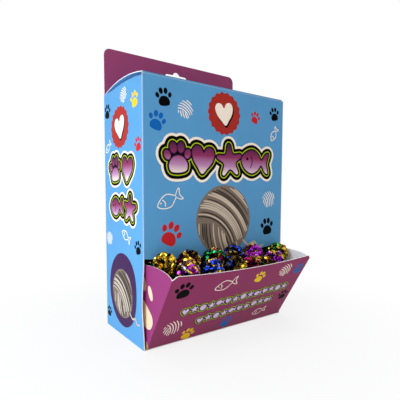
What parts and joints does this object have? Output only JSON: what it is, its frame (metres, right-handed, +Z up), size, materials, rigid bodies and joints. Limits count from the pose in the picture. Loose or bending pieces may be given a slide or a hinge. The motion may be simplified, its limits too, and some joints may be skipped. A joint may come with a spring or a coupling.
{
  "type": "counter display carton",
  "caption": "Tall paperboard counter display with a hinged lid, a hang-slot header and an open hopper tray that offers small foil balls at its front.",
  "frame": {"origin": "centre of the carton's footprint on the table, front and back panels 48 mm either side of it", "axes": "+Z up, +Y towards the back panel and header card, +X to the right seen from the front"},
  "size_m": [0.2044, 0.1477, 0.327],
  "materials": {
    "board_blue": "satin",
    "board_purple": "satin",
    "foil_gold": "gloss",
    "foil_magenta": "gloss",
    "foil_violet": "gloss",
    "foil_blue": "gloss",
    "foil_green": "gloss",
    "foil_silver": "gloss"
  },
  "bodies": {
    "carton": {"carton_body": "board_blue", "header_card": "board_purple", "tray": "board_purple", "crinkle_ball_01": "foil_gold", "crinkle_ball_02": "foil_magenta", "crinkle_ball_03": "foil_violet", "crinkle_ball_04": "foil_blue", "crinkle_ball_05": "foil_green", "crinkle_ball_06": "foil_silver", "crinkle_ball_07": "foil_gold", "crinkle_ball_08": "foil_magenta", "crinkle_ball_09": "foil_violet", "crinkle_ball_10": "foil_blue", "crinkle_ball_11": "foil_green", "crinkle_ball_12": "foil_silver", "crinkle_ball_13": "foil_gold", "crinkle_ball_14": "foil_magenta", "crinkle_ball_15": "foil_violet", "crinkle_ball_16": "foil_blue", "crinkle_ball_17": "foil_green", "crinkle_ball_18": "foil_silver", "crinkle_ball_19": "foil_gold", "crinkle_ball_20": "foil_magenta", "crinkle_ball_21": "foil_violet", "crinkle_ball_22": "foil_blue", "crinkle_ball_23": "foil_green", "crinkle_ball_24": "foil_silver", "crinkle_ball_25": "foil_gold", "crinkle_ball_26": "foil_magenta", "crinkle_ball_27": "foil_violet", "crinkle_ball_28": "foil_blue", "crinkle_ball_29": "foil_green", "crinkle_ball_30": "foil_silver", "crinkle_ball_31": "foil_gold", "crinkle_ball_32": "foil_magenta", "crinkle_ball_33": "foil_violet", "crinkle_ball_34": "foil_blue", "crinkle_ball_35": "foil_green", "crinkle_ball_36": "foil_silver", "crinkle_ball_37": "foil_gold", "crinkle_ball_38": "foil_magenta", "crinkle_ball_39": "foil_violet", "crinkle_ball_40": "foil_blue", "crinkle_ball_41": "foil_green", "crinkle_ball_42": "foil_silver", "crinkle_ball_43": "foil_gold", "crinkle_ball_44": "foil_magenta", "crinkle_ball_45": "foil_violet", "crinkle_ball_46": "foil_blue", "crinkle_ball_47": "foil_green", "crinkle_ball_48": "foil_silver", "crinkle_ball_49": "foil_gold", "crinkle_ball_50": "foil_magenta", "crinkle_ball_51": "foil_violet", "crinkle_ball_52": "foil_blue", "crinkle_ball_53": "foil_green", "crinkle_ball_54": "foil_silver", "crinkle_ball_55": "foil_gold", "crinkle_ball_56": "foil_magenta"},
    "lid": {"lid": "board_blue"}
  },
  "joints": [
    {"name": "lid_hinge", "type": "hinge", "parent": "carton", "child": "lid", "pos_m": [0, 0.0479, 0.2731], "axis": [-1, 0, 0], "range_deg": [0, 70]}
  ]
}
